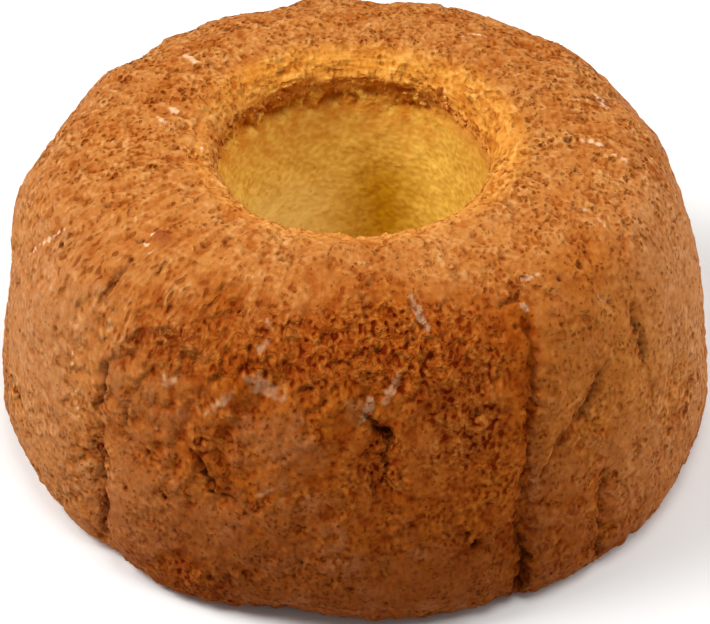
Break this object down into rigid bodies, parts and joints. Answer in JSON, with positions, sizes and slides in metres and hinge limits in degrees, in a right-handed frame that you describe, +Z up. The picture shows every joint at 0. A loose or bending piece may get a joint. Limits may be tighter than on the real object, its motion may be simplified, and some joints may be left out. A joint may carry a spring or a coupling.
{
  "type": "bundt cake",
  "caption": "Whole ring cake with soft leaning flutes, a browned cracked crust and a round hole with a bare sponge wall.",
  "frame": {"origin": "middle of the underside, on the plane that the cake stands on", "axes": "+Z up through the hole, -Y towards the side that the picture shows"},
  "size_m": [0.2196, 0.2202, 0.0946],
  "materials": {
    "crust": "browned baked crust, matt with a faint soft sheen, orange-brown on top and darker down the side",
    "sponge": "open yellow sponge, matt, as in the hole's wall and the loose crumbs"
  },
  "bodies": {
    "root": {"cake": "crust"}
  },
  "joints": []
}
